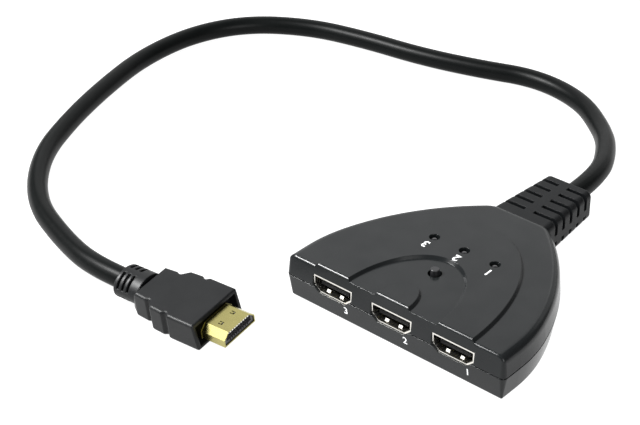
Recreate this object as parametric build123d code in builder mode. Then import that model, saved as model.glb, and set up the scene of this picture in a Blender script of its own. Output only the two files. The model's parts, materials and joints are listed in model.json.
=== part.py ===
"""A small three-port switch box for picture and sound leads, with its captive lead and plug.

Origin: bottom centre of the box. The ports face -Y, the lead leaves towards +Y, +Z is up.
"""

from build123d import *
from math import pi, radians, tan
import os

os.makedirs("parts", exist_ok=True)

# Box
body_width = 81.4 * MM
body_depth = 65.2 * MM
body_height = 16.0 * MM
parting_height = 7.8 * MM
wall = 1.8 * MM
upper_draft = 5.5
lower_draft = 9.0
straight_side = 8.0 * MM
bend_inset = 2.2 * MM
bend_depth = 23.1 * MM
rear_width = 20.9 * MM
rear_corner_radius = 8.5 * MM
front_corner_radius = 1.6 * MM
top_edge_radius = 2.7 * MM
front_edge_radius = 0.9 * MM
foot_edge_radius = 0.7 * MM
overrun = 2.0 * MM

# Raised deck: three arches that start at the front edge
deck_drop = 0.95 * MM
deck_step_run = 0.8 * MM
arch_setback = 0.6 * MM
outer_arch_reach = 49.9 * MM
outer_arch_half_width = 29.0 * MM
middle_arch_reach = 27.4 * MM
middle_arch_half_width = 16.55 * MM
inner_arch_reach = 10.7 * MM
inner_arch_half_width = 6.1 * MM

# Joint between the covers
lip_thickness = 0.8 * MM
lip_height = 1.0 * MM
fit_clearance = 0.1 * MM
groove_height = 0.35 * MM
groove_depth = 0.4 * MM

# Ports
port_count = 3
port_pitch_share = 0.2764
port_setback = 0.6 * MM
port_width = 15.0 * MM
port_narrow_width = 10.0 * MM
port_height = 5.6 * MM
port_straight_side = 3.4 * MM
port_sheet = 0.5 * MM
socket_depth = 11.5 * MM
socket_block_depth = 4.0 * MM
tongue_width = 10.8 * MM
tongue_thickness = 1.3 * MM
tongue_setback = 1.2 * MM
tongue_rise = 2.3 * MM
socket_spring_spacing = 5.1 * MM
socket_spring_width = 1.3 * MM
socket_spring_length = 3.6 * MM
socket_spring_ramp = 0.5 * MM
socket_spring_rise = 0.7 * MM
socket_spring_setback = 1.0 * MM
socket_leg_width = 1.2 * MM
socket_leg_reach = 2.4 * MM
socket_leg_setbacks = (3.0 * MM, 9.5 * MM)
contact_width = 0.36 * MM
contact_sheet = 0.16 * MM
contact_pitch = 1.0 * MM
contact_setback = 0.4 * MM
contact_rows = (10, 9)
contact_clearance = 0.02 * MM

# Circuit board
board_top = 6.4 * MM
board_thickness = 1.6 * MM
board_margin = 1.0 * MM
board_rear_gap = 3.1 * MM

# Case screws
screw_front_inset = 8.2 * MM
screw_front_gap = 0.8 * MM
screw_rear_width_share = 0.215
screw_rear_depth_share = 0.782
screw_head_diameter = 4.6 * MM
screw_head_height = 1.6 * MM
screw_diameter = 2.4 * MM
screw_seat_height = 2.0 * MM
screw_tip_height = 11.0 * MM
screw_recess_width = 0.7 * MM
screw_recess_span = 2.8 * MM
screw_recess_depth = 0.9 * MM
boss_diameter = 6.4 * MM
pilot_spare = 0.6 * MM

# Select switch and its long button
button_setback = 20.7 * MM
button_diameter = 2.8 * MM
button_proud = 1.7 * MM
button_hole_diameter = 4.3 * MM
button_flange_diameter = 4.0 * MM
button_flange_thickness = 0.9 * MM
button_nub_diameter = 1.4 * MM
button_edge_radius = 0.25 * MM
press_gap = 0.3 * MM
switch_width = 6.2 * MM
switch_base_height = 3.3 * MM
switch_well_diameter = 4.6 * MM
switch_floor = 1.0 * MM
switch_frame_sheet = 0.3 * MM
switch_clip_width = 3.0 * MM
switch_clip_drop = 2.0 * MM
switch_play = 0.2 * MM
dome_diameter = 4.2 * MM
dome_rise = 0.6 * MM
dome_sheet = 0.12 * MM
switch_leg_width = 0.7 * MM
switch_leg_sheet = 0.3 * MM
switch_leg_spacing = 4.5 * MM
lead_reach = 1.2 * MM
hole_clearance = 0.15 * MM

# Status lights
light_setback = 35.0 * MM
light_pitch_share = 0.14
light_diameter = 3.0 * MM
light_flange_diameter = 3.8 * MM
light_flange_height = 1.0 * MM
light_height = 6.2 * MM
light_sunk = 0.4 * MM
light_hole_diameter = 3.4 * MM
light_lead_pitch = 2.54 * MM
light_lead_width = 0.5 * MM

# Parts on the board
chip_size = 12.0 * MM
chip_height = 1.3 * MM
chip_x = -14.0 * MM
chip_pin_pitch = 0.5 * MM
chip_pin_width = 0.24 * MM
chip_pins_per_side = 20
pin_sheet = 0.2 * MM
pin_reach = 1.0 * MM
pin_tuck = 0.3 * MM
memory_length = 4.9 * MM
memory_width = 3.9 * MM
memory_height = 1.4 * MM
memory_first_x = 7.5 * MM
memory_pitch = 5.6 * MM
memory_pin_pitch = 1.27 * MM
memory_pins_per_side = 4
memory_pin_width = 0.4 * MM
regulator_size = (6.5 * MM, 3.5 * MM, 1.6 * MM)
regulator_x = 16.5 * MM
regulator_tab = (3.0 * MM, 1.6 * MM, 0.4 * MM)
capacitor_size = (2.0 * MM, 1.25 * MM, 1.0 * MM)
resistor_size = (1.6 * MM, 0.8 * MM, 0.5 * MM)
small_part_pitch = 5.0 * MM
small_part_count = 7
part_gap = 0.5 * MM

# Strain relief moulded on the lead
boot_length = 25.6 * MM
boot_front_width = 21.2 * MM
boot_rear_width = 17.3 * MM
boot_front_bottom = 3.1 * MM
boot_rear_bottom = 4.1 * MM
boot_front_top = 14.3 * MM
boot_rear_top = 14.45 * MM
boot_corner_radius = 2.2 * MM
boot_end_radius = 0.7 * MM
boot_flange_setback = 5.0 * MM
boot_flange_thickness = 2.0 * MM
boot_flange_width = 21.9 * MM
boot_flange_bottom = 2.4 * MM
boot_flange_top = 12.9 * MM
boot_slot_first = 3.6 * MM
boot_slot_pitch = 4.55 * MM
boot_slot_count = 5
boot_slot_width = 1.6 * MM
boot_slot_depth = 1.4 * MM
boot_spine_width = 3.4 * MM
boot_side_spine_width = 2.4 * MM
boot_side_spine_height = 8.0 * MM

# Lead
cord_diameter = 7.0 * MM
cord_exit_height = 8.8 * MM
cord_bore_clearance = 0.05 * MM
cord_inner_reach = 1.1 * MM
cord_straight = 18.0 * MM
cord_lead_in = 14.0 * MM
cord_bend_share = 0.45
wire_diameter = 0.9 * MM
wire_pitch = 1.05 * MM
wires_per_row = 5
wire_low_run = 6.5 * MM
wire_high_rise = 3.2 * MM
wire_high_runs = (5.0 * MM, 3.4 * MM, 1.6 * MM)
wire_bend_radius = 1.2 * MM

# Plug: its own frame starts at the middle of the tip, X towards the tip, Z up
plug_tip = (-33.1 * MM, -61.0 * MM, 6.2 * MM)
plug_heading = 4.6
plug_pitch = 1.27
plug_roll = 6.25
plug_width = 13.9 * MM
plug_narrow_width = 9.6 * MM
plug_height = 4.45 * MM
plug_straight_side = 2.5 * MM
plug_sheet = 0.35 * MM
plug_shell_length = 13.0 * MM
plug_window_setback = 4.4 * MM
plug_window_spacing = 5.4 * MM
plug_window_size = (1.5 * MM, 1.3 * MM)
plug_tab_size = (1.0 * MM, 0.6 * MM)
collar_setback = 8.7 * MM
collar_growth = 0.2 * MM
insulator_setback = 0.4 * MM
plug_slot_width = 11.2 * MM
plug_slot_height = 1.9 * MM
plug_slot_depth = 8.0 * MM
plug_groove_width = 0.6 * MM
plug_groove_depth = 0.55 * MM
plug_contact_width = 0.5 * MM
plug_contact_sheet = 0.45 * MM
plug_contact_setbacks = (0.4 * MM, 1.6 * MM)
grip_front = 7.5 * MM
grip_front_lean = 1.5 * MM
grip_front_radius = 0.5 * MM
grip_half_width = 10.3 * MM
grip_rise = 4.3 * MM
grip_fall = 4.65 * MM
grip_edge_radius = 0.9 * MM
grip_recess_depth = 4.0 * MM
grip_recess_wall = 1.2 * MM
grip_rear_top = 33.8 * MM
grip_rear_slope = 3.8 * MM
grip_corner_radius = 0.7 * MM
plug_length = 44.6 * MM
plug_boot_start = 35.0 * MM
plug_boot_half_width = 6.1 * MM
plug_boot_half_height = 4.75 * MM
plug_boot_slot_first = 38.9 * MM
plug_boot_slot_pitch = 1.95 * MM
plug_boot_slot_count = 3
plug_boot_slot_width = 1.0 * MM
plug_boot_spine_width = 2.4 * MM
plug_boot_edge_radius = 0.5 * MM

# Lead's way down to the table, then its route on the table seen from above
cord_descent = (
    (-10.0 * MM, 96.5 * MM, 6.4 * MM),
    (-21.0 * MM, 110.5 * MM, 3.8 * MM),
)
cord_route = (
    (-39.0 * MM, 124.5 * MM),
    (-61.5 * MM, 128.5 * MM),
    (-83.0 * MM, 120.5 * MM),
    (-106.0 * MM, 114.5 * MM),
    (-131.5 * MM, 111.5 * MM),
    (-155.0 * MM, 106.0 * MM),
    (-176.0 * MM, 92.0 * MM),
    (-186.0 * MM, 70.5 * MM),
    (-186.0 * MM, 44.0 * MM),
    (-179.0 * MM, 18.5 * MM),
    (-170.0 * MM, -6.0 * MM),
    (-157.5 * MM, -31.0 * MM),
    (-136.0 * MM, -51.5 * MM),
    (-111.5 * MM, -60.5 * MM),
)

# Half outline of the grip from its front back: distance behind the tip, half width
grip_outline = (
    (grip_front, grip_half_width),
    (18.9 * MM, grip_half_width),
    (20.0 * MM, 9.1 * MM),
    (21.4 * MM, 10.0 * MM),
    (26.0 * MM, 9.7 * MM),
    (28.2 * MM, 7.1 * MM),
    (29.6 * MM, 7.7 * MM),
    (34.3 * MM, 7.3 * MM),
    (37.6 * MM, 5.0 * MM),
)

# Places worked out from the sizes above
half_width = body_width / 2
front_y = -body_depth / 2
rear_y = body_depth / 2
deck_height = body_height - deck_drop
ceiling_height = deck_height - wall
board_bottom = board_top - board_thickness
arch_y = front_y + arch_setback
port_y = front_y + port_setback
button_y = front_y + button_setback
light_y = front_y + light_setback
port_pitch = body_width * port_pitch_share
light_pitch = body_width * light_pitch_share
front_overrun = front_corner_radius + top_edge_radius
port_places = [port_pitch * (index - (port_count - 1) / 2) for index in range(port_count)]
socket_back_y = port_y + socket_depth + socket_block_depth
screw_front_x = half_width - screw_front_inset
screw_front_y = socket_back_y + screw_front_gap + boss_diameter / 2
screw_rear_x = body_width * screw_rear_width_share
screw_rear_y = front_y + body_depth * screw_rear_depth_share
screw_places = [
    (side * screw_x, screw_y)
    for side in (-1, 1)
    for screw_x, screw_y in ((screw_front_x, screw_front_y), (screw_rear_x, screw_rear_y))
]
light_places = [(port_x / port_pitch * light_pitch, light_y) for port_x in port_places]
light_lead_places = [(x + side * light_lead_pitch / 2, y) for x, y in light_places for side in (-1, 1)]
switch_leg_places = [
    (side * (switch_width + switch_leg_sheet) / 2, button_y + end * switch_leg_spacing / 2)
    for side in (-1, 1)
    for end in (-1, 1)
]
socket_leg_places = [
    (port_x + side * (port_width - port_sheet) / 2, port_y + setback)
    for port_x in port_places
    for side in (-1, 1)
    for setback in socket_leg_setbacks
]
boot_end_y = rear_y + boot_length
boot_neck_y = rear_y - boot_flange_setback
cord_inner_y = boot_neck_y - boot_flange_thickness - cord_inner_reach
board_depth = cord_inner_y - board_rear_gap - front_y
cord_rest_height = cord_diameter / 2 + cord_bore_clearance


def body_plan(front, front_radius=0, inset=0):
    """Outline of the box at the parting line, with its front edge at a given Y."""
    with BuildSketch() as plan:
        with BuildLine():
            side = Line((half_width, front), (half_width, front_y + straight_side))
            bend = (half_width - bend_inset, front_y + bend_depth)
            shoulder = TangentArc(side @ 1, bend, tangent=side % 1)
            flank = TangentArc(shoulder @ 1, (rear_width / 2, rear_y), tangent=shoulder % 1)
            Line(flank @ 1, (0, rear_y))
            Line((0, front), (half_width, front))
            mirror(about=Plane.YZ)
        make_face()
        fillet(plan.vertices().group_by(Axis.Y)[-1], rear_corner_radius)
        if front_radius:
            fillet(plan.vertices().group_by(Axis.Y)[0], front_radius)
        if inset:
            offset(amount=-inset)
    return plan.sketch


def port_profile(growth=0):
    """Section of a port's metal shell, standing on the board: wide side up."""
    with BuildSketch() as profile:
        with BuildLine():
            Polyline(
                (-port_narrow_width / 2, 0),
                (port_narrow_width / 2, 0),
                (port_width / 2, port_height - port_straight_side),
                (port_width / 2, port_height),
                (-port_width / 2, port_height),
                (-port_width / 2, port_height - port_straight_side),
                close=True,
            )
        make_face()
        if growth:
            offset(amount=growth, kind=Kind.INTERSECTION)
    return profile.sketch


def port_plane(port_x, setback=0):
    """Plane across a port, facing out of the box."""
    return Plane(origin=(port_x, port_y + setback, board_top), x_dir=(1, 0, 0), z_dir=(0, -1, 0))


def boot_section(width, bottom, top, growth=0):
    """Rounded section of the strain relief, on a plane that faces the rear."""
    with BuildSketch() as section:
        with Locations((0, (top + bottom) / 2)):
            height = top - bottom
            RectangleRounded(width + 2 * growth, height + 2 * growth, boot_corner_radius + growth)
    return section.sketch


def rear_plane(y):
    """Plane across the lead's exit, with its X across the box and its Y up."""
    return Plane(origin=(0, y, 0), x_dir=(-1, 0, 0), z_dir=(0, 1, 0))


# Raised arches of the top, cut off along the drafted and rounded front wall
def arch(half_width_at_step, reach, height_level):
    """One arch at a level: it spreads downwards along its sloped step."""
    spread = (deck_height + deck_drop / 2 - height_level) * deck_step_run / deck_drop
    with BuildSketch(Plane.XY.offset(height_level)) as ring:
        with Locations((0, arch_y)):
            Ellipse(half_width_at_step + spread, reach + spread)
    return ring.sketch


def sunk_arch(half_width_at_step, reach, height_level):
    """One arch whose inside is the lower deck, so that it spreads upwards."""
    spread = (height_level - deck_height - deck_drop / 2) * deck_step_run / deck_drop
    with BuildSketch(Plane.XY.offset(height_level)) as ring:
        with Locations((0, arch_y)):
            Ellipse(half_width_at_step + spread, reach + spread)
    return ring.sketch


raised_bottom = deck_height - front_edge_radius
with BuildPart() as raised_deck:
    loft([
        arch(outer_arch_half_width, outer_arch_reach, raised_bottom),
        arch(outer_arch_half_width, outer_arch_reach, body_height),
    ], ruled=True)
    loft([
        sunk_arch(middle_arch_half_width, middle_arch_reach, deck_height),
        sunk_arch(middle_arch_half_width, middle_arch_reach, body_height),
    ], ruled=True, mode=Mode.SUBTRACT)
    loft([
        arch(inner_arch_half_width, inner_arch_reach, raised_bottom),
        arch(inner_arch_half_width, inner_arch_reach, body_height),
    ], ruled=True)
    with BuildSketch(Plane.YZ) as front_shape:
        lean = (body_height - parting_height) * tan(radians(upper_draft))
        with BuildLine():
            Polyline(
                (front_y, parting_height),
                (front_y + lean, body_height),
                (rear_y, body_height),
                (rear_y, parting_height),
                close=True,
            )
        make_face()
        fillet(front_shape.vertices().sort_by(Axis.Y)[-2:].sort_by(Axis.X)[0], front_edge_radius)
    extrude(amount=half_width, both=True, mode=Mode.INTERSECT)

# Openings that both covers share
with BuildPart() as port_openings:
    for port_x in port_places:
        with BuildSketch(port_plane(port_x, -overrun)):
            add(port_profile(fit_clearance))
        extrude(amount=-(overrun + wall + overrun))

with BuildPart() as boot_opening:
    with BuildSketch(rear_plane(rear_y - wall - overrun)):
        add(boot_section(boot_front_width, boot_front_bottom, boot_front_top, fit_clearance))
    extrude(amount=wall + overrun + overrun)

with BuildPart() as top_cover:
    upper_height = deck_height - parting_height
    with BuildSketch(Plane.XY.offset(parting_height)):
        add(body_plan(front_y - front_overrun))
    extrude(amount=upper_height, taper=upper_draft)
    deck_rim = top_cover.faces().sort_by(Axis.Z)[-1].edges()
    fillet(deck_rim.filter_by(lambda edge: edge.center().Y > front_y), top_edge_radius)
    with BuildSketch(Plane.XY.offset(parting_height)):
        add(body_plan(front_y, front_corner_radius))
    extrude(amount=upper_height, taper=upper_draft, mode=Mode.INTERSECT)
    front_edge = top_cover.faces().sort_by(Axis.Z)[-1].edges().filter_by(Axis.X).sort_by(Axis.Y)[0]
    fillet(front_edge, front_edge_radius)
    add(raised_deck.part)
    with BuildSketch(Plane.XY.offset(parting_height)):
        add(body_plan(front_y, inset=wall))
    extrude(amount=ceiling_height - parting_height, taper=upper_draft, mode=Mode.SUBTRACT)
    with BuildSketch(Plane.XY.offset(parting_height)):
        add(body_plan(front_y, inset=wall - lip_thickness - fit_clearance))
    extrude(amount=lip_height + fit_clearance, mode=Mode.SUBTRACT)
    with BuildSketch(Plane.XY.offset(parting_height)):
        add(body_plan(front_y - overrun, inset=-overrun))
        add(body_plan(front_y, inset=groove_depth), mode=Mode.SUBTRACT)
    extrude(amount=groove_height, mode=Mode.SUBTRACT)
    with BuildSketch(Plane.XY.offset(board_top)):
        with Locations(*screw_places):
            Circle(boss_diameter / 2)
    extrude(amount=ceiling_height + wall / 2 - board_top)
    with BuildSketch(Plane.XY.offset(board_top)):
        with Locations(*screw_places):
            Circle(screw_diameter / 2 + fit_clearance / 2)
    extrude(amount=screw_tip_height + pilot_spare - board_top, mode=Mode.SUBTRACT)
    with BuildSketch(Plane.XY.offset(ceiling_height - overrun)):
        with Locations((0, button_y)):
            Circle(button_hole_diameter / 2)
        with Locations(*light_places):
            Circle(light_hole_diameter / 2)
    extrude(amount=body_height - ceiling_height + 2 * overrun, mode=Mode.SUBTRACT)
    add(port_openings.part, mode=Mode.SUBTRACT)
    add(boot_opening.part, mode=Mode.SUBTRACT)
top_cover.part.label = "top_cover"
export_step(top_cover.part, "parts/top_cover.step")

with BuildPart() as bottom_cover:
    with BuildSketch(Plane.XY.offset(parting_height)):
        add(body_plan(front_y, front_corner_radius))
    extrude(amount=-parting_height, taper=lower_draft)
    fillet(bottom_cover.faces().sort_by(Axis.Z)[0].edges(), foot_edge_radius)
    with BuildSketch(Plane.XY.offset(parting_height)):
        add(body_plan(front_y, inset=wall))
    extrude(amount=-(parting_height - wall), taper=lower_draft, mode=Mode.SUBTRACT)
    with BuildSketch(Plane.XY.offset(parting_height)):
        add(body_plan(front_y, inset=wall - lip_thickness))
        add(body_plan(front_y, inset=wall), mode=Mode.SUBTRACT)
    extrude(amount=lip_height)
    with BuildSketch(Plane.XY.offset(wall / 2)):
        with Locations(*screw_places):
            Circle(boss_diameter / 2)
    extrude(amount=board_bottom - wall / 2)
    with BuildSketch(Plane.XY):
        with Locations(*screw_places):
            Circle(screw_diameter / 2 + hole_clearance)
    extrude(amount=board_bottom, mode=Mode.SUBTRACT)
    with BuildSketch(Plane.XY):
        with Locations(*screw_places):
            Circle(screw_head_diameter / 2 + hole_clearance)
    extrude(amount=screw_seat_height, mode=Mode.SUBTRACT)
    add(port_openings.part, mode=Mode.SUBTRACT)
    add(boot_opening.part, mode=Mode.SUBTRACT)
bottom_cover.part.label = "bottom_cover"
export_step(bottom_cover.part, "parts/bottom_cover.step")

with BuildPart() as case_screws:
    with BuildSketch(Plane.XY.offset(screw_seat_height)):
        with Locations(*screw_places):
            Circle(screw_head_diameter / 2)
    extrude(amount=-screw_head_height)
    with BuildSketch(Plane.XY.offset(screw_seat_height)):
        with Locations(*screw_places):
            Circle(screw_diameter / 2)
    extrude(amount=screw_tip_height - screw_seat_height)
    with BuildSketch(Plane.XY.offset(screw_seat_height - screw_head_height)):
        with Locations(*screw_places):
            Rectangle(screw_recess_span, screw_recess_width)
            Rectangle(screw_recess_width, screw_recess_span)
    extrude(amount=screw_recess_depth, mode=Mode.SUBTRACT)
case_screws.part.label = "case_screws"
export_step(case_screws.part, "parts/case_screws.step")

with BuildPart() as circuit_board:
    with BuildSketch(Plane.XY.offset(board_bottom)) as board_plan:
        add(body_plan(front_y, inset=wall + board_margin))
        with Locations((0, front_y)):
            Rectangle(body_width, board_depth, align=(Align.CENTER, Align.MIN), mode=Mode.INTERSECT)
        with Locations(*screw_places):
            Circle(screw_diameter / 2 + hole_clearance, mode=Mode.SUBTRACT)
        with Locations(*light_lead_places):
            Circle(light_lead_width / 2 * 2 ** 0.5 + hole_clearance, mode=Mode.SUBTRACT)
        with Locations(*switch_leg_places):
            Rectangle(
                switch_leg_sheet + 2 * hole_clearance,
                switch_leg_width + 2 * hole_clearance,
                mode=Mode.SUBTRACT,
            )
        with Locations(*socket_leg_places):
            Rectangle(
                port_sheet + 2 * hole_clearance,
                socket_leg_width + 2 * hole_clearance,
                mode=Mode.SUBTRACT,
            )
    extrude(amount=board_thickness)
circuit_board.part.label = "circuit_board"
export_step(circuit_board.part, "parts/circuit_board.step")


# Sockets: shell, insulator with its tongue, and contacts
def contact_lines(port_x, growth=0):
    """The contacts of one socket: strips on both sides of the tongue, bent down to the board behind it."""
    tongue_faces = (tongue_rise + tongue_thickness, tongue_rise - contact_sheet)
    tail_end = port_y + socket_depth + contact_sheet
    with BuildPart() as lines:
        for row, count in enumerate(contact_rows):
            low = board_top + tongue_faces[row]
            for index in range(count):
                x = port_x + (index - (count - 1) / 2) * contact_pitch
                with BuildSketch(Plane.YZ.offset(x)):
                    with BuildLine():
                        start = port_y + tongue_setback + contact_setback
                        Polyline(
                            (start, low - growth),
                            (tail_end, low - growth),
                            (tail_end, board_top),
                            (tail_end + contact_sheet, board_top),
                            (tail_end + contact_sheet, low + contact_sheet + growth),
                            (start, low + contact_sheet + growth),
                            close=True,
                        )
                    make_face()
                extrude(amount=contact_width / 2 + growth, both=True)
    return lines.part


for index, port_x in enumerate(reversed(port_places)):
    number = index + 1
    with BuildPart() as socket_shell:
        with BuildSketch(port_plane(port_x)):
            add(port_profile())
            add(port_profile(-port_sheet), mode=Mode.SUBTRACT)
        extrude(amount=-socket_depth)
        for side in (-1, 1):
            spring_x = port_x + side * socket_spring_spacing / 2
            spring_y = port_y + socket_spring_setback
            low = board_top + port_sheet
            high = board_top + port_height - port_sheet
            with BuildSketch(Plane.YZ.offset(spring_x)):
                for level, rise in ((low, socket_spring_rise), (high, -socket_spring_rise)):
                    with BuildLine():
                        Polyline(
                            (spring_y, level),
                            (spring_y + socket_spring_ramp, level + rise),
                            (spring_y + socket_spring_length, level),
                            close=True,
                        )
                    make_face()
            extrude(amount=socket_spring_width / 2, both=True)
            leg_x = port_x + side * (port_width - port_sheet) / 2
            leg_top = board_top + port_height - port_straight_side / 2
            with BuildSketch(Plane.XY.offset(leg_top)):
                for setback in socket_leg_setbacks:
                    with Locations((leg_x, port_y + setback)):
                        Rectangle(port_sheet, socket_leg_width)
            extrude(amount=board_top - socket_leg_reach - leg_top)
    socket_shell.part.label = f"socket_{number}_shell"
    export_step(socket_shell.part, f"parts/socket_{number}_shell.step")

    with BuildPart() as socket_tongue:
        with BuildSketch(port_plane(port_x, socket_depth)):
            add(port_profile(-port_sheet - fit_clearance / 2))
        extrude(amount=socket_block_depth)
        with BuildSketch(port_plane(port_x, socket_depth)):
            with Locations((0, tongue_rise + tongue_thickness / 2)):
                Rectangle(tongue_width, tongue_thickness)
        extrude(amount=socket_depth - tongue_setback)
        add(contact_lines(port_x, contact_clearance), mode=Mode.SUBTRACT)
    socket_tongue.part.label = f"socket_{number}_tongue"
    export_step(socket_tongue.part, f"parts/socket_{number}_tongue.step")

    with BuildPart() as socket_contacts:
        add(contact_lines(port_x))
    socket_contacts.part.label = f"socket_{number}_contacts"
    export_step(socket_contacts.part, f"parts/socket_{number}_contacts.step")

# Select switch
switch_top = board_top + switch_base_height
frame_top = switch_top + switch_frame_sheet
well_floor = board_top + switch_floor
dome_top = well_floor + dome_rise
with BuildPart() as switch_base:
    with BuildSketch(Plane.XY.offset(board_top)):
        with Locations((0, button_y)):
            Rectangle(switch_width, switch_width)
    extrude(amount=switch_base_height)
    with BuildSketch(Plane.XY.offset(well_floor)):
        with Locations((0, button_y)):
            Circle(switch_well_diameter / 2)
    extrude(amount=switch_base_height, mode=Mode.SUBTRACT)
switch_base.part.label = "switch_base"
export_step(switch_base.part, "parts/switch_base.step")

with BuildPart() as switch_frame:
    with BuildSketch(Plane.XY.offset(switch_top)):
        with Locations((0, button_y)):
            Rectangle(switch_width, switch_width + 2 * switch_frame_sheet)
            Circle(button_diameter / 2 + switch_play, mode=Mode.SUBTRACT)
    extrude(amount=switch_frame_sheet)
    with BuildSketch(Plane.XY.offset(frame_top)):
        clip_y = (switch_width + switch_frame_sheet) / 2
        with Locations((0, button_y - clip_y), (0, button_y + clip_y)):
            Rectangle(switch_clip_width, switch_frame_sheet)
    extrude(amount=-switch_clip_drop)
switch_frame.part.label = "switch_frame"
export_step(switch_frame.part, "parts/switch_frame.step")

with BuildPart() as switch_dome:
    with BuildSketch(Plane(origin=(0, button_y, well_floor), x_dir=(1, 0, 0), z_dir=(0, -1, 0))):
        with BuildLine():
            outer_radius = dome_diameter / 2
            inner_radius = outer_radius - dome_sheet
            inner_rise = dome_rise - dome_sheet
            rim = Line((outer_radius, 0), (inner_radius, 0))
            inner_curve = (inner_radius ** 2 + inner_rise ** 2) / (2 * inner_rise)
            under = RadiusArc(rim @ 1, (0, inner_rise), -inner_curve)
            crest = Line(under @ 1, (0, dome_rise))
            outer_curve = (outer_radius ** 2 + dome_rise ** 2) / (2 * dome_rise)
            RadiusArc(crest @ 1, rim @ 0, outer_curve)
        make_face()
    revolve(axis=Axis((0, button_y, well_floor), (0, 0, 1)))
switch_dome.part.label = "switch_dome"
export_step(switch_dome.part, "parts/switch_dome.step")

with BuildPart() as switch_legs:
    with BuildSketch(Plane.XY.offset(switch_top - switch_base_height / 2)):
        with Locations(*switch_leg_places):
            Rectangle(switch_leg_sheet, switch_leg_width)
    extrude(amount=board_bottom - lead_reach - switch_top + switch_base_height / 2)
switch_legs.part.label = "switch_legs"
export_step(switch_legs.part, "parts/switch_legs.step")

with BuildPart() as select_button:
    button_bottom = dome_top + press_gap
    flange_top = switch_top - fit_clearance
    flange_bottom = flange_top - button_flange_thickness
    with BuildSketch(Plane.XY.offset(button_bottom)):
        with Locations((0, button_y)):
            Circle(button_nub_diameter / 2)
    extrude(amount=flange_top - button_bottom)
    with BuildSketch(Plane.XY.offset(flange_bottom)):
        with Locations((0, button_y)):
            Circle(button_flange_diameter / 2)
    extrude(amount=button_flange_thickness)
    with BuildSketch(Plane.XY.offset(flange_top)):
        with Locations((0, button_y)):
            Circle(button_diameter / 2)
    extrude(amount=body_height - deck_drop + button_proud - flange_top)
    fillet(select_button.faces().sort_by(Axis.Z)[-1].edges(), button_edge_radius)
select_button.part.label = "select_button"
export_step(select_button.part, "parts/select_button.step")

# Status lights over their leads
light_top = body_height - light_sunk
light_bottom = light_top - light_height
for index, (light_x, _) in enumerate(reversed(light_places)):
    number = index + 1
    with BuildPart() as light:
        with BuildSketch(Plane.XY.offset(light_bottom)):
            with Locations((light_x, light_y)):
                Circle(light_flange_diameter / 2)
        extrude(amount=light_flange_height)
        with BuildSketch(Plane.XY.offset(light_bottom)):
            with Locations((light_x, light_y)):
                Circle(light_diameter / 2)
        extrude(amount=light_height - light_diameter / 2)
        with Locations((light_x, light_y, light_top - light_diameter / 2)):
            Sphere(light_diameter / 2)
    light.part.label = f"light_{number}"
    export_step(light.part, f"parts/light_{number}.step")

with BuildPart() as light_leads:
    with BuildSketch(Plane.XY.offset(light_bottom)):
        with Locations(*light_lead_places):
            Rectangle(light_lead_width, light_lead_width)
    extrude(amount=board_bottom - lead_reach - light_bottom)
light_leads.part.label = "light_leads"
export_step(light_leads.part, "parts/light_leads.step")

# Parts soldered on the board
chip_y = socket_back_y + part_gap + pin_reach + chip_size / 2
pin_top = board_top + pin_sheet
with BuildPart() as switching_chip:
    with BuildSketch(Plane.XY.offset(pin_top)):
        with Locations((chip_x, chip_y)):
            Rectangle(chip_size, chip_size)
    extrude(amount=chip_height)
switching_chip.part.label = "switching_chip"
export_step(switching_chip.part, "parts/switching_chip.step")

with BuildPart() as switching_chip_pins:
    pin_length = pin_reach + pin_tuck
    pin_offset = chip_size / 2 + (pin_reach - pin_tuck) / 2
    with BuildSketch(Plane.XY.offset(board_top)):
        for side in (-1, 1):
            with Locations((chip_x, chip_y + side * pin_offset)):
                with GridLocations(chip_pin_pitch, 0, chip_pins_per_side, 1):
                    Rectangle(chip_pin_width, pin_length)
            with Locations((chip_x + side * pin_offset, chip_y)):
                with GridLocations(0, chip_pin_pitch, 1, chip_pins_per_side):
                    Rectangle(pin_length, chip_pin_width)
    extrude(amount=pin_sheet)
switching_chip_pins.part.label = "switching_chip_pins"
export_step(switching_chip_pins.part, "parts/switching_chip_pins.step")

memory_y = socket_back_y + part_gap + pin_reach + memory_width / 2
memory_places = [(memory_first_x + memory_pitch * index, memory_y) for index in range(port_count)]
with BuildPart() as memory_chips:
    with BuildSketch(Plane.XY.offset(pin_top)):
        with Locations(*memory_places):
            Rectangle(memory_length, memory_width)
    extrude(amount=memory_height)
memory_chips.part.label = "memory_chips"
export_step(memory_chips.part, "parts/memory_chips.step")

with BuildPart() as memory_chip_pins:
    memory_pin_offset = memory_width / 2 + (pin_reach - pin_tuck) / 2
    with BuildSketch(Plane.XY.offset(board_top)):
        for memory_x, _ in memory_places:
            for side in (-1, 1):
                with Locations((memory_x, memory_y + side * memory_pin_offset)):
                    with GridLocations(memory_pin_pitch, 0, memory_pins_per_side, 1):
                        Rectangle(memory_pin_width, pin_length)
    extrude(amount=pin_sheet)
memory_chip_pins.part.label = "memory_chip_pins"
export_step(memory_chip_pins.part, "parts/memory_chip_pins.step")

with BuildPart() as voltage_regulator:
    memory_back_y = memory_y + memory_width / 2 + pin_reach
    regulator_y = memory_back_y + part_gap + regulator_size[1] / 2
    with BuildSketch(Plane.XY.offset(board_top)):
        with Locations((regulator_x, regulator_y)):
            Rectangle(regulator_size[0], regulator_size[1])
    extrude(amount=regulator_size[2])
    with BuildSketch(Plane.XY.offset(board_top)):
        with Locations((regulator_x, regulator_y + (regulator_size[1] + regulator_tab[1]) / 2)):
            Rectangle(regulator_tab[0], regulator_tab[1])
    extrude(amount=regulator_tab[2])
voltage_regulator.part.label = "voltage_regulator"
export_step(voltage_regulator.part, "parts/voltage_regulator.step")

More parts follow.
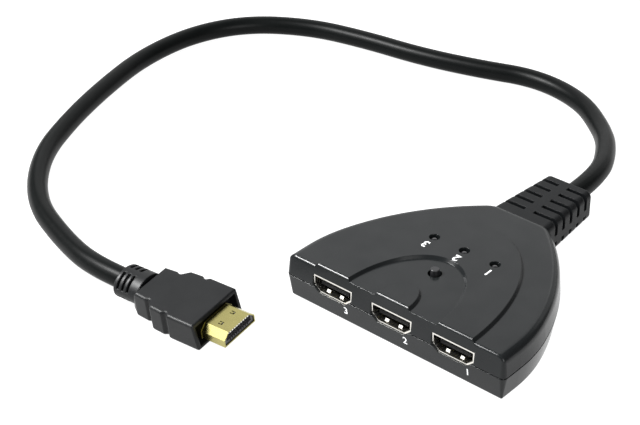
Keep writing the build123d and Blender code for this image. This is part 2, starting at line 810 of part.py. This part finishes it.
capacitor_y = chip_y + chip_size / 2 + pin_reach + part_gap + capacitor_size[1] / 2
resistor_y = capacitor_y + (capacitor_size[1] + resistor_size[1]) / 2 + part_gap
with BuildPart() as capacitors:
    with BuildSketch(Plane.XY.offset(board_top)):
        with Locations((0, capacitor_y)):
            with GridLocations(small_part_pitch, 0, small_part_count, 1):
                Rectangle(capacitor_size[0], capacitor_size[1])
    extrude(amount=capacitor_size[2])
capacitors.part.label = "capacitors"
export_step(capacitors.part, "parts/capacitors.step")

with BuildPart() as resistors:
    with BuildSketch(Plane.XY.offset(board_top)):
        with Locations((0, resistor_y)):
            with GridLocations(small_part_pitch, 0, small_part_count, 1):
                Rectangle(resistor_size[0], resistor_size[1])
    extrude(amount=resistor_size[2])
resistors.part.label = "resistors"
export_step(resistors.part, "parts/resistors.step")

# Strain relief: flange inside the box, neck through the wall, slotted body outside
with BuildPart() as cable_boot:
    with BuildSketch(rear_plane(boot_neck_y)):
        with Locations((0, (boot_flange_top + boot_flange_bottom) / 2)):
            Rectangle(boot_flange_width, boot_flange_top - boot_flange_bottom)
    extrude(amount=-boot_flange_thickness)
    # The neck inside the box stays under the ceiling
    with BuildSketch(rear_plane(boot_neck_y)):
        add(boot_section(boot_front_width, boot_front_bottom, boot_flange_top))
    extrude(amount=boot_flange_setback)
    with BuildSketch(rear_plane(rear_y - wall + fit_clearance)):
        add(boot_section(boot_front_width, boot_front_bottom, boot_front_top))
    extrude(amount=wall - fit_clearance)
    with BuildSketch(rear_plane(rear_y)) as boot_front:
        add(boot_section(boot_front_width, boot_front_bottom, boot_front_top))
    with BuildSketch(rear_plane(boot_end_y)) as boot_rear:
        add(boot_section(boot_rear_width, boot_rear_bottom, boot_rear_top))
    loft(ruled=True)
    fillet(cable_boot.faces().sort_by(Axis.Y)[-1].edges(), boot_end_radius)
    for index in range(boot_slot_count):
        slot_y = rear_y + boot_slot_first + index * boot_slot_pitch
        share_back = (slot_y - rear_y) / boot_length
        width = boot_front_width + (boot_rear_width - boot_front_width) * share_back
        bottom = boot_front_bottom + (boot_rear_bottom - boot_front_bottom) * share_back
        top = boot_front_top + (boot_rear_top - boot_front_top) * share_back
        with BuildSketch(rear_plane(slot_y - boot_slot_width / 2)):
            add(boot_section(width, bottom, top, overrun))
            add(boot_section(width, bottom, top, -boot_slot_depth), mode=Mode.SUBTRACT)
            with Locations((0, boot_side_spine_height)):
                Rectangle(boot_spine_width, body_height * 2, mode=Mode.SUBTRACT)
                Rectangle(body_width, boot_side_spine_width, mode=Mode.SUBTRACT)
        extrude(amount=boot_slot_width, mode=Mode.SUBTRACT)
    with BuildSketch(rear_plane(boot_neck_y - boot_flange_thickness)):
        with Locations((0, cord_exit_height)):
            Circle(cord_diameter / 2 + cord_bore_clearance)
    extrude(amount=boot_end_y - boot_neck_y + boot_flange_thickness, mode=Mode.SUBTRACT)
cable_boot.part.label = "cable_boot"
export_step(cable_boot.part, "parts/cable_boot.step")

with BuildPart() as lead_inner:
    with BuildSketch(rear_plane(cord_inner_y)):
        with Locations((0, cord_exit_height)):
            Circle(cord_diameter / 2)
    extrude(amount=boot_end_y - cord_inner_y)
lead_inner.part.label = "lead_inner"
export_step(lead_inner.part, "parts/lead_inner.step")

with BuildPart() as lead_wires:
    wire_low_height = board_top + wire_diameter / 2
    wire_high_height = wire_low_height + wire_high_rise
    for index in range(wires_per_row):
        wire_x = (index - (wires_per_row - 1) / 2) * wire_pitch
        with BuildSketch(rear_plane(cord_inner_y)):
            with Locations((-wire_x, wire_low_height)):
                Circle(wire_diameter / 2)
        extrude(amount=-wire_low_run)
        bend_y = cord_inner_y - wire_high_runs[0]
        landing_y = bend_y - wire_high_runs[1]
        with BuildLine():
            wire_path = FilletPolyline(
                (wire_x, cord_inner_y, wire_high_height),
                (wire_x, bend_y, wire_high_height),
                (wire_x, landing_y, wire_low_height),
                (wire_x, landing_y - wire_high_runs[2], wire_low_height),
                radius=wire_bend_radius,
            )
        with BuildSketch(rear_plane(cord_inner_y)):
            with Locations((-wire_x, wire_high_height)):
                Circle(wire_diameter / 2)
        sweep(path=wire_path)
lead_wires.part.label = "lead_wires"
export_step(lead_wires.part, "parts/lead_wires.step")

# Plug frame and planes across the plug
plug_origin = Vector(*plug_tip)
plug_along = Vector(1, 0, 0).rotate(Axis.Y, -plug_pitch).rotate(Axis.Z, plug_heading)
plug_up = Vector(0, 0, 1).rotate(Axis.X, plug_roll).rotate(Axis.Y, -plug_pitch)
plug_up = plug_up.rotate(Axis.Z, plug_heading)
plug_side = plug_up.cross(plug_along)


def plug_plane(setback):
    """Plane across the plug at a distance behind its tip, facing the tip, with its Y up."""
    return Plane(origin=plug_origin - plug_along * setback, x_dir=plug_side, z_dir=plug_along)


def plug_level(rise):
    """Plane along the plug at a height over its middle, with its X towards the tip."""
    return Plane(origin=plug_origin + plug_up * rise, x_dir=plug_along, z_dir=plug_up)


def plug_profile(growth=0):
    """Section of the plug's metal shell: wide side down."""
    with BuildSketch() as profile:
        with BuildLine():
            Polyline(
                (-plug_width / 2, -plug_height / 2),
                (plug_width / 2, -plug_height / 2),
                (plug_width / 2, plug_straight_side - plug_height / 2),
                (plug_narrow_width / 2, plug_height / 2),
                (-plug_narrow_width / 2, plug_height / 2),
                (-plug_width / 2, plug_straight_side - plug_height / 2),
                close=True,
            )
        make_face()
        if growth:
            offset(amount=growth, kind=Kind.INTERSECTION)
    return profile.sketch


with BuildPart() as plug_shell:
    with BuildSketch(plug_plane(0)):
        add(plug_profile())
        add(plug_profile(-plug_sheet), mode=Mode.SUBTRACT)
    extrude(amount=-plug_shell_length)
    with BuildSketch(plug_level(plug_height / 2 - plug_sheet)):
        for side in (-1, 1):
            with Locations((-plug_window_setback, side * plug_window_spacing / 2)):
                Rectangle(plug_window_size[0], plug_window_size[1])
            tab_shift = (plug_window_size[0] - plug_tab_size[0]) / 2
            with Locations((-plug_window_setback - tab_shift, side * plug_window_spacing / 2)):
                Rectangle(plug_tab_size[0], plug_tab_size[1], mode=Mode.SUBTRACT)
    extrude(amount=plug_sheet + overrun, mode=Mode.SUBTRACT)
plug_shell.part.label = "plug_shell"
export_step(plug_shell.part, "parts/plug_shell.step")

with BuildPart() as plug_collar:
    with BuildSketch(plug_plane(collar_setback)):
        add(plug_profile(collar_growth))
        add(plug_profile(fit_clearance / 2), mode=Mode.SUBTRACT)
    extrude(amount=collar_setback - plug_shell_length)
plug_collar.part.label = "plug_collar"
export_step(plug_collar.part, "parts/plug_collar.step")


def plug_contact_boxes(width, thickness, setbacks):
    """Strips in the grooves on both sides of the plug's slot, down to the slot's end."""
    groove_floor = plug_slot_height / 2 + plug_groove_depth
    with BuildPart() as boxes:
        for side, count, setback in zip((1, -1), contact_rows, setbacks):
            with BuildSketch(plug_plane(setback)):
                with Locations((0, side * (groove_floor - thickness / 2))):
                    with GridLocations(contact_pitch, 0, count, 1):
                        Rectangle(width, thickness)
            extrude(amount=setback - plug_slot_depth)
    return boxes.part


with BuildPart() as plug_insulator:
    with BuildSketch(plug_plane(insulator_setback)):
        add(plug_profile(-plug_sheet - fit_clearance / 2))
    extrude(amount=insulator_setback - plug_shell_length)
    with BuildSketch(plug_plane(0)):
        Rectangle(plug_slot_width, plug_slot_height)
    extrude(amount=-plug_slot_depth, mode=Mode.SUBTRACT)
    add(plug_contact_boxes(plug_groove_width, plug_groove_depth, (0, 0)), mode=Mode.SUBTRACT)
plug_insulator.part.label = "plug_insulator"
export_step(plug_insulator.part, "parts/plug_insulator.step")

with BuildPart() as plug_contacts:
    add(plug_contact_boxes(plug_contact_width, plug_contact_sheet, plug_contact_setbacks))
plug_contacts.part.label = "plug_contacts"
export_step(plug_contacts.part, "parts/plug_contacts.step")

# Moulded grip: thumb block with two ribs behind it, then the round slotted end
with BuildPart() as plug_grip:
    with BuildSketch(plug_level(-grip_fall)) as grip_plan:
        near = [(-setback, half) for setback, half in grip_outline]
        far = [(-setback, -half) for setback, half in reversed(grip_outline)]
        with BuildLine():
            Polyline(*near, *far, close=True)
        make_face()
        fillet(grip_plan.vertices(), grip_corner_radius)
    extrude(amount=grip_rise + grip_fall)
    flat_faces = plug_grip.faces().filter_by(lambda face: abs(face.normal_at().dot(plug_up)) > 0.99)
    fillet(flat_faces.edges(), grip_edge_radius)
    # The front face leans back towards its top, and the rear end slopes down
    with BuildSketch(Plane(origin=plug_origin, x_dir=plug_along, z_dir=-plug_side)):
        with BuildLine():
            Polyline(
                (-grip_rear_top, grip_rise),
                (-grip_rear_top - grip_rear_slope, -grip_fall),
                (-plug_length, -grip_fall),
                (-plug_length, grip_rise),
                close=True,
            )
        make_face()
        with BuildLine():
            Polyline(
                (-grip_front, -grip_fall),
                (-grip_front - grip_front_lean, grip_rise),
                (-grip_front + overrun, grip_rise),
                (-grip_front + overrun, -grip_fall),
                close=True,
            )
        make_face()
    extrude(amount=grip_half_width, both=True, mode=Mode.SUBTRACT)
    front_face = plug_grip.faces().sort_by(lambda face: face.center().dot(plug_along))[-1]
    fillet(front_face.edges(), grip_front_radius)
    with BuildSketch(plug_plane(plug_boot_start)):
        Ellipse(plug_boot_half_width, plug_boot_half_height)
    extrude(amount=plug_boot_start - plug_length)
    boot_face = plug_grip.faces().sort_by(lambda face: face.center().dot(plug_along))[0]
    fillet(boot_face.edges(), plug_boot_edge_radius)
    for index in range(plug_boot_slot_count):
        setback = plug_boot_slot_first + index * plug_boot_slot_pitch - plug_boot_slot_width / 2
        with BuildSketch(plug_plane(setback)):
            Ellipse(plug_boot_half_width + overrun, plug_boot_half_height + overrun)
            core_half_width = plug_boot_half_width - boot_slot_depth
            core_half_height = plug_boot_half_height - boot_slot_depth / 2
            Ellipse(core_half_width, core_half_height, mode=Mode.SUBTRACT)
            Rectangle(plug_boot_spine_width, plug_boot_half_width * 4, mode=Mode.SUBTRACT)
            Rectangle(plug_boot_half_width * 4, plug_boot_spine_width, mode=Mode.SUBTRACT)
        extrude(amount=-plug_boot_slot_width, mode=Mode.SUBTRACT)
    with BuildSketch(plug_plane(grip_front)):
        with Locations((0, (grip_rise - grip_fall) / 2)):
            recess_height = grip_rise + grip_fall - 2 * grip_recess_wall
            Rectangle(2 * (grip_half_width - grip_recess_wall), recess_height)
    extrude(amount=-grip_recess_depth, mode=Mode.SUBTRACT)
    with BuildSketch(plug_plane(grip_front)):
        add(plug_profile(collar_growth + fit_clearance / 2))
    extrude(amount=grip_front - plug_shell_length, mode=Mode.SUBTRACT)
plug_grip.part.label = "plug_grip"
export_step(plug_grip.part, "parts/plug_grip.step")

# Lead: its points lie on the route seen from above, and end square on the plug's grip
plug_end = plug_origin - plug_along * plug_length
lead_in = plug_end - plug_along * cord_lead_in
route = [
    Vector(0, boot_end_y, cord_exit_height),
    Vector(0, boot_end_y + cord_straight, cord_exit_height),
    *[Vector(*point) for point in cord_descent],
    *[Vector(x, y, cord_rest_height) for x, y in cord_route],
    lead_in,
    plug_end,
]
runs = [after - before for before, after in zip(route, route[1:])]
cord_radii = [
    cord_bend_share * min(run.length, after.length) / tan(radians(run.get_angle(after) / 2))
    for run, after in zip(runs, runs[1:])
]
print("lead bend radii", [round(radius, 1) for radius in cord_radii])
with BuildPart() as cord:
    with BuildLine() as cord_path:
        FilletPolyline(*route, radius=cord_radii)
    with BuildSketch(Plane(origin=route[0], x_dir=(1, 0, 0), z_dir=(0, 1, 0))):
        Circle(cord_diameter / 2)
    sweep(path=cord_path.wire())
cord_length = cord_path.wire().length
cord_section = pi * cord_diameter ** 2 / 4
volume_share = cord.part.volume / cord_length / cord_section
print("lead length", round(cord_length, 1), "volume share", round(volume_share, 5))
cord.part.label = "cord"
export_step(cord.part, "parts/cord.step")
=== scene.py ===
"""Looks of a small three-port video switch box with its captive lead and plug.

Metres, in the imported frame.
"""

import json
from math import cos, pi, radians, sin, tan

import bpy
from mathutils import Matrix, Vector


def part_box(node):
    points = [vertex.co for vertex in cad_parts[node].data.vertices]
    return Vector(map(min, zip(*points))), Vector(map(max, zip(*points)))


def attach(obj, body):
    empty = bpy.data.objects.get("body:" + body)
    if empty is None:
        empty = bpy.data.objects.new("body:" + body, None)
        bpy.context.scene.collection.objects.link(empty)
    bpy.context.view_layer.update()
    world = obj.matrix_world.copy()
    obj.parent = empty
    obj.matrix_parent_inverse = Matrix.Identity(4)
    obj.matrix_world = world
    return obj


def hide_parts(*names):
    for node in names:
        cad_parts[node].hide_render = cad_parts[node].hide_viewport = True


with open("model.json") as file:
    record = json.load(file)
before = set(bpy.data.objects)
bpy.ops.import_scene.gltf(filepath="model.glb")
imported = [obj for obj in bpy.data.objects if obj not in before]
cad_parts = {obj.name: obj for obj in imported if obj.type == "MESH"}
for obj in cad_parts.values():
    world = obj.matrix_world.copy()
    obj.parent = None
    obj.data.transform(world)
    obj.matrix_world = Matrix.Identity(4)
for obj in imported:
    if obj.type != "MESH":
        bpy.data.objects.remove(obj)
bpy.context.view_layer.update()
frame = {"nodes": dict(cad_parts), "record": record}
nodes = frame["nodes"]
record = frame["record"]

MM = 0.001

# Camera, fitted to the ports, arches and outline of the photograph
camera_azimuth = radians(41.83)
camera_elevation = radians(32.11)
camera_roll = radians(-0.51)
camera_place = Vector((244.0, -335.1, 289.9)) * MM
camera_near = 10 * MM
focal_pixels = 1653.1
image_width = 640
sensor_width = 36.0


def new_camera():
    """The photograph's view, as a camera object."""
    right = Vector((cos(camera_azimuth), sin(camera_azimuth), 0))
    forward = Vector((
        -sin(camera_azimuth) * cos(camera_elevation),
        cos(camera_azimuth) * cos(camera_elevation),
        -sin(camera_elevation),
    ))
    up = right.cross(forward)
    rolled_right = cos(camera_roll) * right + sin(camera_roll) * up
    rolled_up = cos(camera_roll) * up - sin(camera_roll) * right
    data = bpy.data.cameras.new("camera")
    data.sensor_width = sensor_width
    data.lens = focal_pixels * sensor_width / image_width
    data.clip_start = camera_near
    camera = bpy.data.objects.new("camera", data)
    bpy.context.scene.collection.objects.link(camera)
    turn = Matrix((rolled_right, rolled_up, -forward)).transposed()
    camera.matrix_world = Matrix.Translation(camera_place) @ turn.to_4x4()
    bpy.context.scene.camera = camera


new_camera()

# Materials: where a noise's low and high patches begin to show, and the finest noise's detail
patch_low = 0.3
patch_high = 0.7
patch_detail = 3.0
grain_detail = 2.0


class Recipe:
    """A node material with one shader and its texture coordinates in millimetres.

    Its flat colour and roughness stand where no pattern varies them.
    """

    def __init__(self, name, color, roughness, metallic=0.0, specular=0.5):
        self.material = bpy.data.materials.new(name)
        self.material.use_nodes = True
        self.tree = self.material.node_tree
        self.shader = self.tree.nodes["Principled BSDF"]
        self.set("Base Color", (*color, 1))
        self.set("Roughness", roughness)
        self.set("Metallic", metallic)
        self.set("Specular IOR Level", specular)
        place = self.add("ShaderNodeTexCoord")
        scale = self.add("ShaderNodeMapping")
        scale.inputs["Scale"].default_value = (1 / MM, 1 / MM, 1 / MM)
        self.link(place.outputs["Object"], scale.inputs["Vector"])
        self.vector = scale.outputs["Vector"]

    def add(self, kind):
        return self.tree.nodes.new(kind)

    def link(self, start, end):
        self.tree.links.new(start, end)

    def set(self, socket, value):
        self.shader.inputs[socket].default_value = value

    def noise(self, size, detail=patch_detail):
        """Noise whose features are about size millimetres across."""
        texture = self.add("ShaderNodeTexNoise")
        texture.inputs["Scale"].default_value = 1 / size
        texture.inputs["Detail"].default_value = detail
        self.link(self.vector, texture.inputs["Vector"])
        return texture.outputs["Fac"]

    def vary_color(self, size, low, high):
        """Patches of two colours, of the given size."""
        ramp = self.add("ShaderNodeValToRGB")
        first, last = ramp.color_ramp.elements
        first.position = patch_low
        last.position = patch_high
        first.color = (*low, 1)
        last.color = (*high, 1)
        self.link(self.noise(size), ramp.inputs["Fac"])
        self.link(ramp.outputs["Color"], self.shader.inputs["Base Color"])

    def vary_roughness(self, size, low, high):
        """Patches between two roughnesses, of the given size."""
        spread = self.add("ShaderNodeMapRange")
        spread.inputs["To Min"].default_value = low
        spread.inputs["To Max"].default_value = high
        self.link(self.noise(size), spread.inputs["Value"])
        self.link(spread.outputs["Result"], self.shader.inputs["Roughness"])

    def bump(self, size, strength, depth, edge=0, detail=grain_detail):
        """Fine relief, over edges that look rounded by the given radius."""
        bump = self.add("ShaderNodeBump")
        bump.inputs["Strength"].default_value = strength
        bump.inputs["Distance"].default_value = depth
        self.link(self.noise(size, detail), bump.inputs["Height"])
        if edge:
            bevel = self.add("ShaderNodeBevel")
            bevel.inputs["Radius"].default_value = edge
            self.link(bevel.outputs["Normal"], bump.inputs["Normal"])
        self.link(bump.outputs["Normal"], self.shader.inputs["Normal"])


def cover_plastic():
    """Black moulded cover with a satin, very fine grain."""
    recipe = Recipe("cover_plastic", (0.0075, 0.0085, 0.009), 0.20, specular=0.20)
    recipe.vary_color(9.0, (0.006, 0.007, 0.0075), (0.009, 0.010, 0.0105))
    recipe.vary_roughness(3.0, 0.175, 0.225)
    recipe.bump(0.22, strength=0.10, depth=0.02 * MM, edge=0.35 * MM)
    return recipe.material


def soft_black():
    """Satin flexible moulding of the strain relief."""
    recipe = Recipe("soft_black", (0.0035, 0.004, 0.0045), 0.42, specular=0.12)
    recipe.vary_color(6.0, (0.003, 0.0035, 0.004), (0.0045, 0.005, 0.0055))
    recipe.vary_roughness(2.0, 0.37, 0.47)
    recipe.bump(0.3, strength=0.2, depth=0.03 * MM, edge=0.5 * MM)
    return recipe.material


def grip_black():
    """Flexible moulding of the plug's grip, a little lighter than the strain relief."""
    recipe = Recipe("grip_black", (0.005, 0.0055, 0.006), 0.42, specular=0.20)
    recipe.vary_color(6.0, (0.004, 0.0045, 0.005), (0.006, 0.0065, 0.007))
    recipe.vary_roughness(2.5, 0.37, 0.47)
    recipe.bump(0.3, strength=0.25, depth=0.03 * MM, edge=0.5 * MM)
    return recipe.material


def cord_black():
    """Smooth extruded jacket with faint unevenness."""
    recipe = Recipe("cord_black", (0.0025, 0.003, 0.003), 0.36, specular=0.07)
    recipe.vary_color(12.0, (0.002, 0.0025, 0.0025), (0.003, 0.0035, 0.0035))
    recipe.vary_roughness(2.0, 0.31, 0.41)
    recipe.bump(0.8, strength=0.12, depth=0.05 * MM)
    return recipe.material


def black_plastic():
    """Plain black plastic of the button and the chips."""
    recipe = Recipe("black_plastic", (0.008, 0.008, 0.009), 0.40)
    recipe.vary_color(1.5, (0.007, 0.007, 0.008), (0.009, 0.009, 0.010))
    recipe.vary_roughness(1.0, 0.34, 0.46)
    recipe.bump(0.2, strength=0.15, depth=0.02 * MM)
    return recipe.material


def port_black():
    """Dull black insulator inside the ports."""
    recipe = Recipe("port_black", (0.003, 0.003, 0.003), 0.60, specular=0.15)
    recipe.vary_color(1.5, (0.0025, 0.0025, 0.003), (0.0035, 0.0035, 0.004))
    recipe.vary_roughness(1.0, 0.55, 0.65)
    recipe.bump(0.2, strength=0.15, depth=0.02 * MM)
    return recipe.material


def metal(name, color, roughness, spread):
    """Plated sheet with a faint drawn grain, whose roughness spreads to both sides of its value."""
    darkening = 0.93
    recipe = Recipe(name, color, roughness, metallic=1.0)
    recipe.vary_color(1.5, [darkening * part for part in color], color)
    recipe.vary_roughness(0.4, roughness - spread, roughness + spread)
    recipe.bump(0.3, strength=0.03, depth=0.02 * MM)
    return recipe.material


def plain(name, color, roughness, size=1.0):
    """A coloured plastic with a little unevenness, in patches of the given size."""
    darkening = 0.92
    spread = 0.05
    recipe = Recipe(name, color, roughness)
    recipe.vary_color(size, [darkening * part for part in color], color)
    recipe.vary_roughness(size / 2, roughness - spread, roughness + spread)
    recipe.bump(size / 4, strength=0.1, depth=0.02 * MM)
    return recipe.material


def clear_lens():
    """Polished body of a status light, coloured dark: painted shade of the dark hole seen through its
    clear epoxy.
    """
    recipe = Recipe("clear_lens", (0.012, 0.012, 0.013), 0.08)
    recipe.set("Coat Weight", 0.6)
    recipe.vary_color(0.8, (0.010, 0.010, 0.011), (0.014, 0.014, 0.015))
    recipe.vary_roughness(0.5, 0.05, 0.12)
    recipe.bump(0.6, strength=0.05, depth=0.02 * MM)
    return recipe.material


def white_ink():
    """Printed white that covers a little unevenly."""
    recipe = Recipe("white_ink", (0.72, 0.73, 0.73), 0.50)
    recipe.vary_color(0.3, (0.60, 0.61, 0.62), (0.78, 0.79, 0.79))
    recipe.vary_roughness(0.2, 0.45, 0.60)
    recipe.bump(0.2, strength=0.1, depth=0.01 * MM, detail=patch_detail)
    return recipe.material


materials = {
    "cover_plastic": cover_plastic(),
    "soft_black": soft_black(),
    "cord_black": cord_black(),
    "black_plastic": black_plastic(),
    "grip_black": grip_black(),
    "port_black": port_black(),
    "port_gold": metal("port_gold", (0.30, 0.26, 0.12), 0.40, 0.05),
    # Darker gold of the plug's collar: painted shade of the grip's recess around it
    "painted_shade_gold": metal("painted_shade_gold", (0.18, 0.165, 0.065), 0.32, 0.04),
    "contact_metal": metal("contact_metal", (0.92, 0.90, 0.84), 0.35, 0.05),
    "grey_plastic": plain("grey_plastic", (0.05, 0.05, 0.055), 0.40),
    "bright_steel": metal("bright_steel", (0.75, 0.73, 0.68), 0.22, 0.05),
    "zinc_steel": metal("zinc_steel", (0.55, 0.55, 0.56), 0.35, 0.06),
    "gold_plate": metal("gold_plate", (0.37, 0.335, 0.13), 0.26, 0.04),
    "board_green": plain("board_green", (0.02, 0.16, 0.06), 0.35, size=3.0),
    "ceramic_brown": plain("ceramic_brown", (0.32, 0.22, 0.13), 0.40),
    "wire_white": plain("wire_white", (0.62, 0.62, 0.60), 0.40),
    "clear_lens": clear_lens(),
    "white_ink": white_ink(),
}

# Nodes whose shade differs from that of their slot's other nodes
# The plug's collar takes the darker gold that carries the recess's painted shade
shades = {"plug_grip": "grip_black", "plug_collar": "painted_shade_gold", "plug_contacts": "contact_metal"}
for port in ("1", "2", "3"):
    shades["socket_" + port + "_tongue"] = "port_black"
    shades["socket_" + port + "_contacts"] = "port_gold"


def dress_nodes():
    """Gives every CAD node the material of its slot, or its own shade."""
    for part in record["subparts"]:
        node = part["node"]
        name = shades.get(node, part["material_slot"])
        mesh = nodes[node].data
        mesh.materials.clear()
        mesh.materials.append(materials[name])


dress_nodes()

# Lead: its real sizes, and the route's own points, in millimetres, as the solid's are
cord_diameter = 7.0 * MM
cord_bevel_steps = 8
cord_run_steps = 16
cord_route = (
    (0, 58.2, 8.8),
    (0, 76.2, 8.8),
    (-10, 96.5, 6.4),
    (-21, 110.5, 3.8),
    (-39, 124.5, 3.55),
    (-61.5, 128.5, 3.55),
    (-83, 120.5, 3.55),
    (-106, 114.5, 3.55),
    (-131.5, 111.5, 3.55),
    (-155, 106, 3.55),
    (-176, 92, 3.55),
    (-186, 70.5, 3.55),
    (-186, 44, 3.55),
    (-179, 18.5, 3.55),
    (-170, -6, 3.55),
    (-157.5, -31, 3.55),
    (-136, -51.5, 3.55),
    (-111.5, -60.5, 3.55),
    (-91.50, -65.70, 4.90),
    (-77.54, -64.58, 5.21),
)


def new_cord():
    """The lead as one smooth spline of its real thickness."""
    data = bpy.data.curves.new("lead", "CURVE")
    data.dimensions = "3D"
    data.bevel_depth = cord_diameter / 2
    data.bevel_resolution = cord_bevel_steps
    data.resolution_u = cord_run_steps
    data.use_fill_caps = True
    spline = data.splines.new("NURBS")
    spline.points.add(len(cord_route) - 1)
    for point, place in zip(spline.points, cord_route):
        point.co = (*(part * MM for part in place), 1)
    spline.order_u = 3
    spline.use_endpoint_u = True
    lead = bpy.data.objects.new("lead", data)
    bpy.context.scene.collection.objects.link(lead)
    data.materials.append(materials["cord_black"])
    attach(lead, "box")
    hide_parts("cord")


new_cord()

# Prints: a digit's share of its font's size, the line's added weight, and the ink's thickness and gap
digit_share = 0.73
weight_share = 0.02
ink_thickness = 0.012 * MM
ink_gap = 0.02 * MM

# Numbers at the lights, on the deck
deck_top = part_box("top_cover")[1].z
light_number_y = -2.2 * MM
light_number_height = 3.2 * MM

# Numbers under the ports, on the bottom cover's leaning wall
front_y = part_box("bottom_cover")[0].y
parting_height = 7.8 * MM
lower_draft = radians(9)
port_number_z = 4.2 * MM
port_number_height = 2.5 * MM
port_number_y = front_y + (parting_height - port_number_z) * tan(lower_draft) - ink_gap

# Each digit with its places across the box, at its light and under its port, in millimetres
number_places = (("1", 12.4, 27.9), ("2", 0.6, 5.3), ("3", -11.2, -17.3))


def new_numeral(name, digit, place, tilt, turn, height):
    """One printed number, lying on the surface that its place and turns give."""
    data = bpy.data.curves.new(name, "FONT")
    data.body = digit
    data.align_x = "CENTER"
    data.align_y = "CENTER"
    data.size = height / digit_share
    data.offset = weight_share * height
    data.extrude = ink_thickness
    data.materials.append(materials["white_ink"])
    numeral = bpy.data.objects.new(name, data)
    bpy.context.scene.collection.objects.link(numeral)
    numeral.location = place
    numeral.rotation_euler = (tilt, 0, turn)
    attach(numeral, "box")


# The deck's numbers stand upside down, to be read from the lead's side
for digit, light_x, port_x in number_places:
    light_place = (light_x * MM, light_number_y, deck_top + ink_gap)
    port_place = (port_x * MM, port_number_y, port_number_z)
    new_numeral("light_number_" + digit, digit, light_place, 0, pi, light_number_height)
    new_numeral("port_number_" + digit, digit, port_place, pi / 2 + lower_draft, 0, port_number_height)

# Floor: a light table, so the floor is white and nearly free of shadows
floor_size = 12.0
floor_shade = 0.15
floor_roughness = 0.9
floor_glow = 0.96


def new_floor():
    """A wide plain white floor."""
    white = Recipe("floor_white", (floor_shade, floor_shade, floor_shade), floor_roughness)
    white.set("Emission Color", (1, 1, 1, 1))
    white.set("Emission Strength", floor_glow)
    half = floor_size / 2
    mesh = bpy.data.meshes.new("floor")
    corners = [(-half, -half, 0), (half, -half, 0), (half, half, 0), (-half, half, 0)]
    mesh.from_pydata(corners, [], [(0, 1, 2, 3)])
    mesh.materials.append(white.material)
    floor = bpy.data.objects.new("floor", mesh)
    bpy.context.scene.collection.objects.link(floor)


new_floor()

# Lights: each one's place, the side of its square face, and that face's brightness
lights = {
    "rear_panel": ((-0.62, 0.70, 0.58), 1.0, 1.15),
    "low_rear_panel": ((-0.03, 1.10, 0.45), 0.7, 0.8),
    "front_lamp": ((-0.59, -0.42, 0.77), 0.30, 105.0),
    "front_panel": ((-0.62, -0.74, 0.50), 0.45, 3.0),
    "side_panel": ((0.90, -0.45, 0.50), 0.6, 8.0),
}
room_brightness = 0.2


def new_light(name, place, size, radiance):
    """A soft square light that points at the box, with the brightness of its own face given."""
    data = bpy.data.lights.new(name, "AREA")
    data.shape = "SQUARE"
    data.size = size
    data.energy = radiance * pi * size ** 2
    light = bpy.data.objects.new(name, data)
    bpy.context.scene.collection.objects.link(light)
    light.location = place
    light.rotation_euler = (-Vector(place)).to_track_quat("-Z", "Y").to_euler()
    light.visible_camera = False


def new_room():
    """Even white light from all around."""
    world = bpy.data.worlds.new("world")
    world.use_nodes = True
    background = world.node_tree.nodes["Background"]
    background.inputs["Color"].default_value = (1, 1, 1, 1)
    background.inputs["Strength"].default_value = room_brightness
    bpy.context.scene.world = world


for name, (place, size, radiance) in lights.items():
    new_light(name, place, size, radiance)
new_room()
bpy.context.scene.view_settings.view_transform = "Standard"
